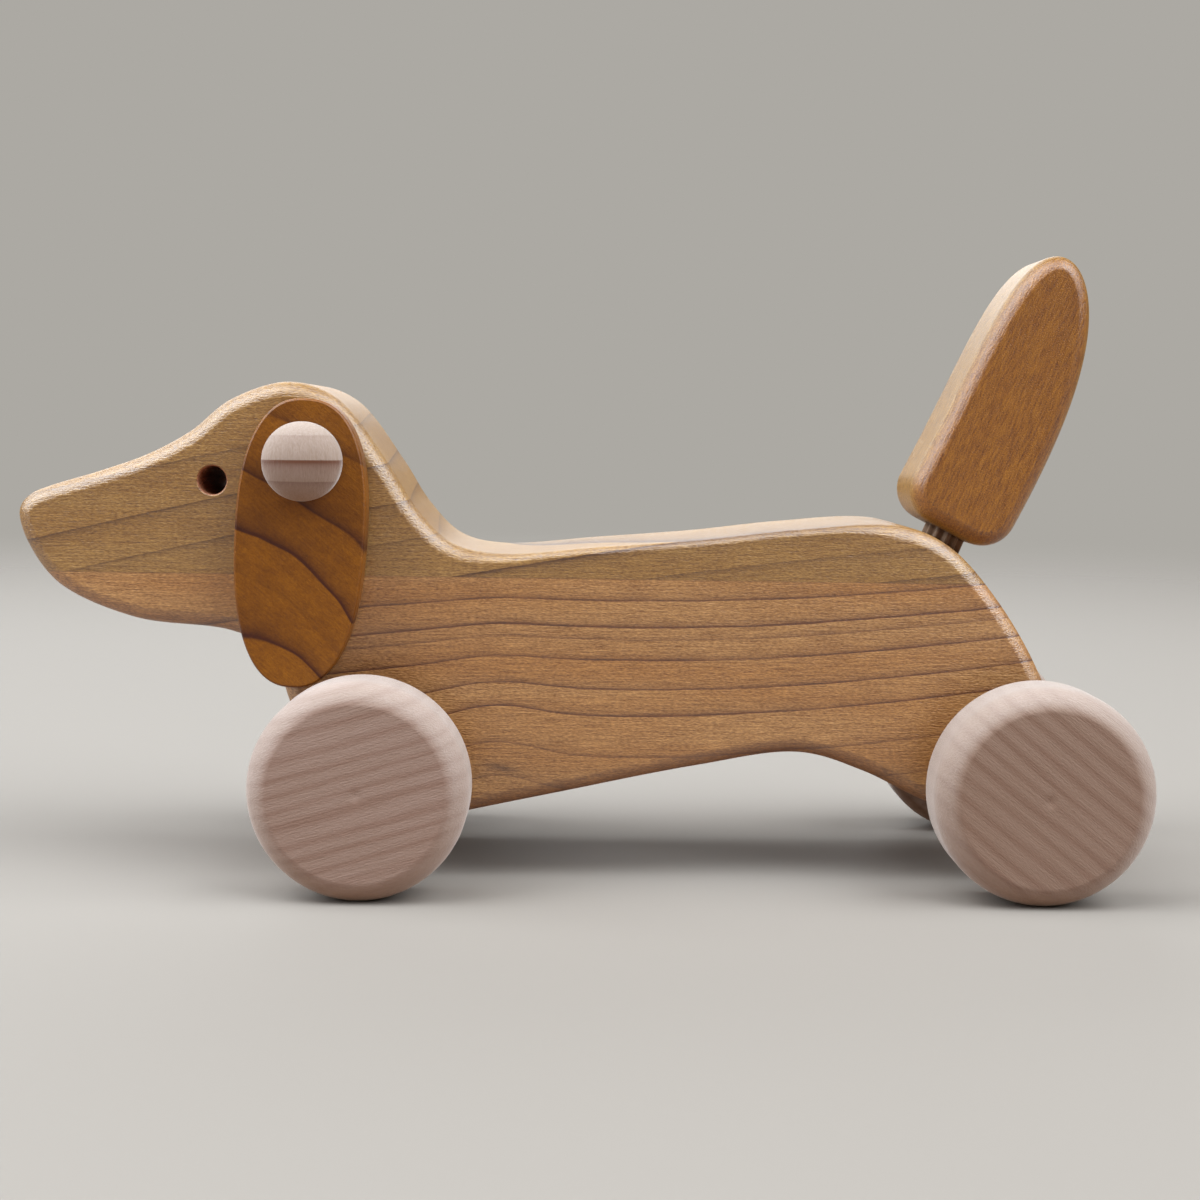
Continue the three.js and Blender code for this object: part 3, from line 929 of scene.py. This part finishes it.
for side, sign in (("left", -1), ("right", 1)):
    low, high = node_box(f"{side}_ear")
    middle = (low.y + high.y) / 2
    ear = make_ear(f"{side}_ear_flap", high.y - low.y)
    matrix = Matrix.Translation((peg_place.x, middle, peg_place.z))
    add(ear, f"{side}_ear", matrix @ Matrix.Rotation(math.radians(EAR_LEAN), 4, "Y"))
    low, high = node_box(f"{side}_ear_peg")
    peg = make_peg(f"{side}_ear_peg_turned", high.y - low.y - PEG_HEAD_HEIGHT)
    outer = max(abs(low.y), abs(high.y))
    matrix = Matrix.Translation((peg_place.x, sign * (outer - PEG_HEAD_HEIGHT), peg_place.z))
    if sign < 0:
        matrix = matrix @ Matrix.Rotation(math.pi, 4, "Z")
    add(peg, f"{side}_ear_peg", matrix)

add(make_tail(), "tail", tail_frame() @ Matrix.Translation((0, 0, TAIL_STANDOFF)))
add(make_dowel(), "tail_dowel", tail_frame())


# Studio

FLOOR_COLOUR = srgb(143, 137, 131)
FLOOR_BOUNCE = srgb(120, 88, 62)  # as it lights the toy from below
FLOOR_ROUGHNESS = 0.8
FLOOR_FADE_START = 0.35
FLOOR_FADE_END = 1.2
WALL_COLOUR = srgb(172, 169, 163)
FILL_COLOUR = srgb(255, 230, 202)
FILL_STRENGTH = 0.15
LIGHT_TARGET = Vector((0, 0, 0.05))
LIGHT_DISTANCE = 1.8
LIGHT_COLOUR = (0.95, 1.01, 1.05)


def make_floor():
    """A pale floor that fades into the background some way off."""
    mesh = bpy.data.meshes.new("floor")
    half = FLOOR_FADE_END
    corners = [(-half, -half, 0), (half, -half, 0), (half, half, 0), (-half, half, 0)]
    mesh.from_pydata(corners, [], [(0, 1, 2, 3)])
    floor = bpy.data.objects.new("floor", mesh)
    bpy.context.scene.collection.objects.link(floor)
    material = bpy.data.materials.new("pale_floor")
    material.use_nodes = True
    tree = material.node_tree
    shader = tree.nodes["Principled BSDF"]
    path = tree.nodes.new("ShaderNodeLightPath")
    tone = tree.nodes.new("ShaderNodeMix")
    tone.data_type = "RGBA"
    tone.inputs["A"].default_value = FLOOR_COLOUR
    tone.inputs["B"].default_value = FLOOR_BOUNCE
    tree.links.new(path.outputs["Is Diffuse Ray"], tone.inputs["Factor"])
    tree.links.new(tone.outputs["Result"], shader.inputs["Base Color"])
    shader.inputs["Roughness"].default_value = FLOOR_ROUGHNESS
    coordinates = tree.nodes.new("ShaderNodeTexCoord")
    length = tree.nodes.new("ShaderNodeVectorMath")
    length.operation = "LENGTH"
    tree.links.new(coordinates.outputs["Object"], length.inputs[0])
    shown = 1 - Signal(tree, length.outputs["Value"]).smooth(FLOOR_FADE_START, FLOOR_FADE_END)
    plug(tree, shader.inputs["Alpha"], shown)
    mesh.materials.append(material)


def make_light(name, azimuth, elevation, width, height, radiance):
    """A soft box that faces the toy, its azimuth in degrees from the front towards the tail's side."""
    turn, rise = math.radians(azimuth), math.radians(elevation)
    away = Vector((math.sin(turn) * math.cos(rise), -math.cos(turn) * math.cos(rise), math.sin(rise)))
    data = bpy.data.lights.new(name, "AREA")
    data.shape = "RECTANGLE"
    data.size = width
    data.size_y = height
    data.energy = radiance * math.pi * width * height
    data.color = LIGHT_COLOUR
    light = bpy.data.objects.new(name, data)
    light.location = LIGHT_TARGET + away * LIGHT_DISTANCE
    light.rotation_euler = away.to_track_quat("Z", "Y").to_euler()
    bpy.context.scene.collection.objects.link(light)


def make_world():
    """A warm fill light, with a plain grey wall where the camera sees past the floor."""
    world = bpy.data.worlds.new("studio")
    world.use_nodes = True
    tree = world.node_tree
    fill = tree.nodes["Background"]
    fill.inputs["Color"].default_value = FILL_COLOUR
    fill.inputs["Strength"].default_value = FILL_STRENGTH
    wall = tree.nodes.new("ShaderNodeBackground")
    wall.inputs["Color"].default_value = WALL_COLOUR
    path = tree.nodes.new("ShaderNodeLightPath")
    switch = tree.nodes.new("ShaderNodeMixShader")
    tree.links.new(path.outputs["Is Camera Ray"], switch.inputs["Fac"])
    tree.links.new(fill.outputs[0], switch.inputs[1])
    tree.links.new(wall.outputs[0], switch.inputs[2])
    tree.links.new(switch.outputs[0], tree.nodes["World Output"].inputs["Surface"])
    bpy.context.scene.world = world


def make_camera():
    """The camera at the photograph's viewing angle."""
    data = bpy.data.cameras.new("camera")
    data.lens = CAMERA_LENS
    camera = bpy.data.objects.new("camera", data)
    yaw, pitch, roll = (math.radians(angle) for angle in (CAMERA_YAW, CAMERA_PITCH, CAMERA_ROLL))
    turn = Matrix.Rotation(-yaw, 4, "Z") @ Matrix.Rotation(math.pi / 2 - pitch, 4, "X")
    camera.matrix_world = Matrix.Translation(CAMERA_PLACE * MM) @ turn @ Matrix.Rotation(roll, 4, "Z")
    bpy.context.scene.collection.objects.link(camera)
    bpy.context.scene.camera = camera


make_floor()
make_light("left_soft_box", -80, 40, 1.7, 1.7, 4.7)
make_light("right_soft_box", 66, 46, 1.7, 1.7, 5.2)
make_light("rear_panel", 193, 27, 2.0, 0.8, 2.8)
make_light("top_panel", -50, 72, 1.4, 1.2, 3.8)
make_world()
make_camera()
bpy.context.scene.view_settings.view_transform = "Standard"
